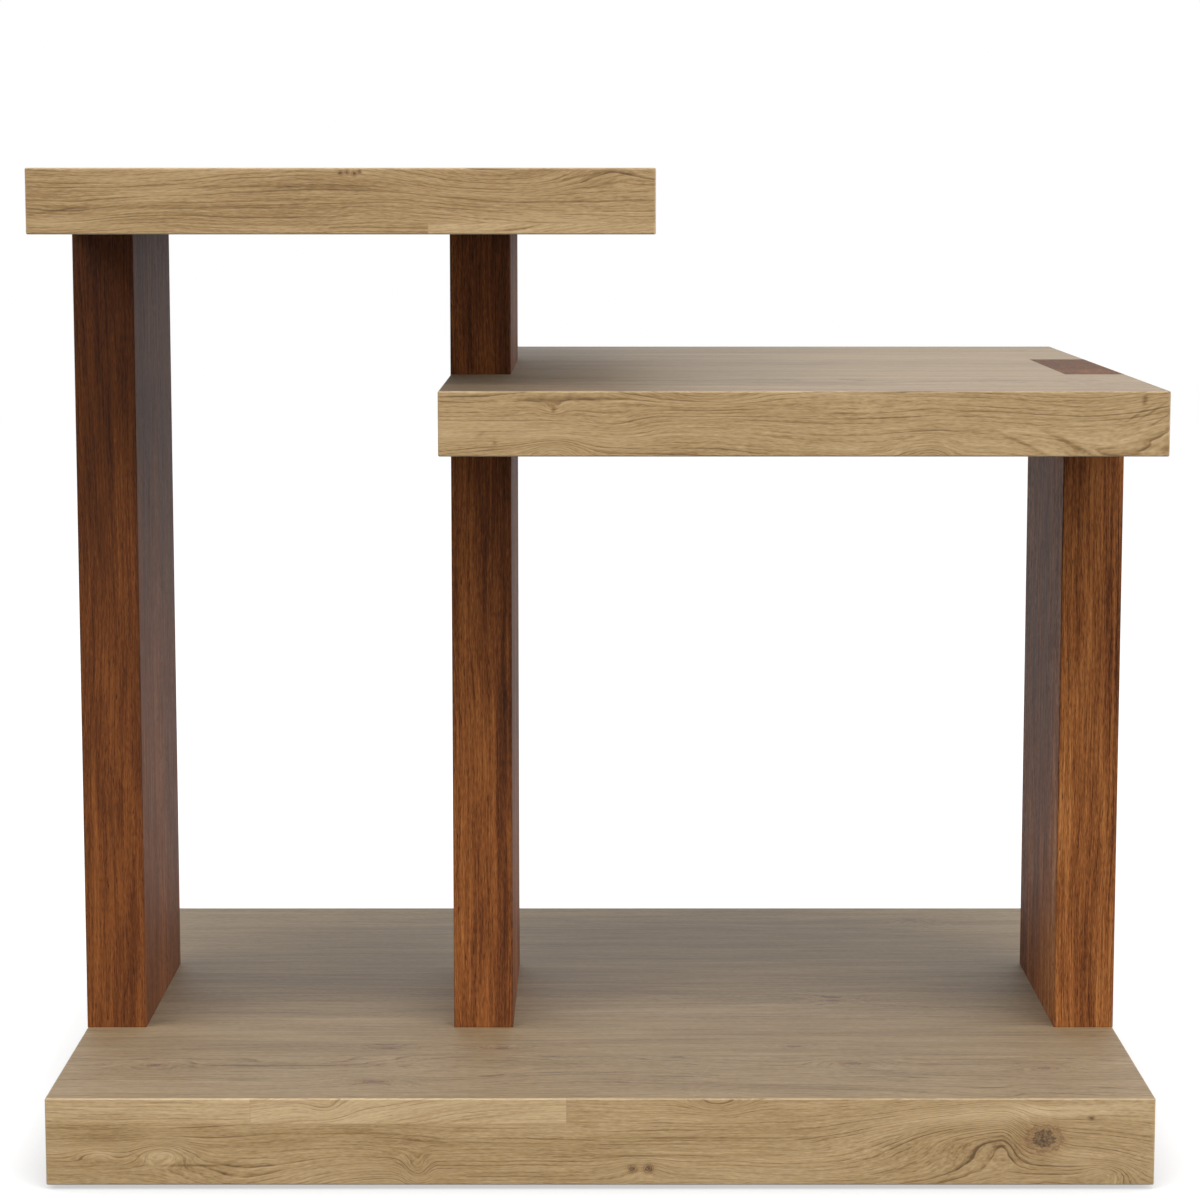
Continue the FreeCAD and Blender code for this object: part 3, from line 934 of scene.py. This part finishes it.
def beechMaterial():
    material, tree, shader = newMaterial("beech")
    spot, _ = objectPlace(tree)
    flecks = noise(tree, spot, (1.4, 1.4, 0.5), 4.0, 2.0)[0]
    streaks = noise(tree, spot, (6, 1.2, 1.2), 9.0, 2.0)[0]
    tone = calculate(tree, "MULTIPLY_ADD", centred(tree, flecks), beechFinish["fleckShare"], streaks)
    feed(tree, shader.inputs["Base Color"], colourRamp(tree, tone, beechFinish["colours"]))
    shader.inputs["Roughness"].default_value = beechFinish["roughness"]
    addBump(tree, shader, streaks, *beechFinish["bump"])
    return material


def metalMaterial(name, finish):
    material, tree, shader = newMaterial(name)
    spot, _ = objectPlace(tree)
    scratches = noise(tree, spot, finish["scratchSizes"], 3.0, 3.0, 0.6)[0]
    clouds = noise(tree, spot, (5, 5, 5), 8.0, 2.0)[0]
    feed(tree, shader.inputs["Base Color"], blended(tree, clouds, finish["dark"], finish["pale"]))
    feed(tree, shader.inputs["Roughness"], stretched(tree, scratches, 0.3, 0.7, *finish["roughness"]))
    shader.inputs["Metallic"].default_value = 1.0
    addBump(tree, shader, scratches, *finish["bump"])
    return material


def nylonMaterial():
    material, tree, shader = newMaterial("nylon")
    spot, _ = objectPlace(tree)
    grainy = noise(tree, spot, (0.5, 0.5, 0.5), 2.0, 2.0)[0]
    scuffs = noise(tree, spot, (9, 2, 2), 6.0, 3.0)[0]
    feed(tree, shader.inputs["Base Color"], colourRamp(tree, scuffs, nylonFinish["colours"]))
    feed(tree, shader.inputs["Roughness"], stretched(tree, scuffs, 0.3, 0.7, *nylonFinish["roughness"]))
    addBump(tree, shader, grainy, *nylonFinish["bump"])
    return material


beech = beechMaterial()
zincSteel = metalMaterial("zinc_plated_steel", zincFinish)
brass = metalMaterial("brass", brassFinish)
nylon = nylonMaterial()
for node, material in {
    "leg_bolts": zincSteel,
    "leg_bolt_washers": zincSteel,
    "glide_nails": zincSteel,
    "leg_threaded_inserts": brass,
    "leg_foot_dowels": beech,
    "top_joint_dowels": beech,
    "floor_glides": nylon,
}.items():
    dress(node, material)
print("Fittings dressed")


# Floor, world, lamps and camera

def seenRays(tree):
    # 1 for the camera and for what reflections and glass show
    path = tree.nodes.new("ShaderNodeLightPath")
    seen = calculate(tree, "MAXIMUM", path.outputs["Is Camera Ray"], path.outputs["Is Glossy Ray"])
    return calculate(tree, "MAXIMUM", seen, path.outputs["Is Transmission Ray"])


def mixedShader(tree, factor, first, second):
    node = tree.nodes.new("ShaderNodeMixShader")
    feed(tree, node.inputs[0], factor)
    tree.links.new(first, node.inputs[1])
    tree.links.new(second, node.inputs[2])
    return node.outputs[0]


def diffuseShader(tree, tint):
    node = tree.nodes.new("ShaderNodeBsdfDiffuse")
    node.inputs["Color"].default_value = tint
    return node.outputs[0]


def makeFloor():
    flat = bmesh.new()
    bmesh.ops.create_grid(flat, x_segments=1, y_segments=1, size=studio["floorSize"] / 2)
    mesh = bpy.data.meshes.new("studio_floor")
    flat.to_mesh(mesh)
    flat.free()
    floor = bpy.data.objects.new("studio_floor", mesh)
    bpy.context.scene.collection.objects.link(floor)
    material = bpy.data.materials.new("studio_floor")
    material.use_nodes = True
    tree = material.node_tree
    tree.nodes.remove(tree.nodes["Principled BSDF"])
    glow = tree.nodes.new("ShaderNodeEmission")
    openness = tree.nodes.new("ShaderNodeAmbientOcclusion")
    openness.inputs["Distance"].default_value = studio["contactReach"]
    strength = stretched(tree, openness.outputs["AO"], studio["contactOpenness"], 1.0,
                         studio["contactGlow"], studio["floorGlow"])
    feed(tree, glow.inputs["Strength"], strength)
    both = tree.nodes.new("ShaderNodeAddShader")
    tree.links.new(glow.outputs[0], both.inputs[0])
    tree.links.new(diffuseShader(tree, colour(*studio["floorLitColour"])), both.inputs[1])
    plain = diffuseShader(tree, colour(*studio["floorColour"]))
    feed(tree, tree.nodes["Material Output"].inputs["Surface"],
         mixedShader(tree, seenRays(tree), plain, both.outputs[0]))
    mesh.materials.append(material)


def makeWorld():
    world = bpy.data.worlds.new("studio")
    bpy.context.scene.world = world
    world.use_nodes = True
    tree = world.node_tree
    direction = tree.nodes.new("ShaderNodeTexCoord").outputs["Generated"]
    x, y, z = parted(tree, direction)
    near, far = studio["sideBand"]
    back = stretched(tree, y, near, far, 0.0, studio["skyBack"], smooth=True)
    onRight = stretched(tree, x, near, far, smooth=True)
    left = stretched(tree, x, -near, -far, 0.0, studio["skyLeft"], smooth=True)
    veryLow = stretched(tree, z, *studio["lowBand"], smooth=True)
    low = stretched(tree, z, *studio["heightBand"], smooth=True)
    right = calculate(tree, "MULTIPLY", onRight, studio["skyRight"])
    rightLow = calculate(tree, "MULTIPLY", onRight, studio["skyRightLow"])
    strength = calculate(tree, "MULTIPLY_ADD", rightLow, veryLow, studio["skyAll"])
    sides = calculate(tree, "ADD", calculate(tree, "ADD", left, right), back)
    strength = calculate(tree, "MULTIPLY_ADD", sides, low, strength)
    lighting = tree.nodes["Background"]
    feed(tree, lighting.inputs["Color"], (1.0, 1.0, 1.0, 1.0))
    feed(tree, lighting.inputs["Strength"], strength)
    white = tree.nodes.new("ShaderNodeBackground")
    white.inputs["Color"].default_value = (1.0, 1.0, 1.0, 1.0)
    cameraRay = tree.nodes.new("ShaderNodeLightPath").outputs["Is Camera Ray"]
    reflected = stretched(tree, y, *studio["sheenBand"], studio["frontSheen"], 1.0, smooth=True)
    feed(tree, white.inputs["Strength"], calculate(tree, "MAXIMUM", cameraRay, reflected))
    feed(tree, tree.nodes["World Output"].inputs["Surface"],
         mixedShader(tree, seenRays(tree), lighting.outputs[0], white.outputs[0]))


def makeLamp(name, turn, lift, power):
    light = bpy.data.lights.new(name, "AREA")
    light.shape = "RECTANGLE"
    light.size, light.size_y = studio["lampSize"]
    light.energy = power
    holder = bpy.data.objects.new(name, light)
    bpy.context.scene.collection.objects.link(holder)
    turn, lift = math.radians(turn), math.radians(lift)
    level = math.cos(lift)
    outward = Vector((math.sin(turn) * level, -math.cos(turn) * level, math.sin(lift)))
    holder.location = Vector(studio["lampAim"]) + outward * studio["lampDistance"]
    holder.rotation_euler = (-outward).to_track_quat("-Z", "Y").to_euler()
    holder.visible_camera = False


def makeCamera():
    data = bpy.data.cameras.new("camera")
    data.lens = camera["lens"]
    data.sensor_width = camera["sensor"]
    eye = bpy.data.objects.new("camera", data)
    bpy.context.scene.collection.objects.link(eye)
    eye.location = camera["place"]
    eye.rotation_euler = (math.radians(90 - camera["downTilt"]), 0.0, 0.0)
    bpy.context.scene.camera = eye


makeFloor()
makeWorld()
for name, (turn, lift, power) in studio["lamps"].items():
    makeLamp(name, turn, lift, power)
makeCamera()
bpy.context.scene.view_settings.view_transform = "Standard"
print("Studio ready")
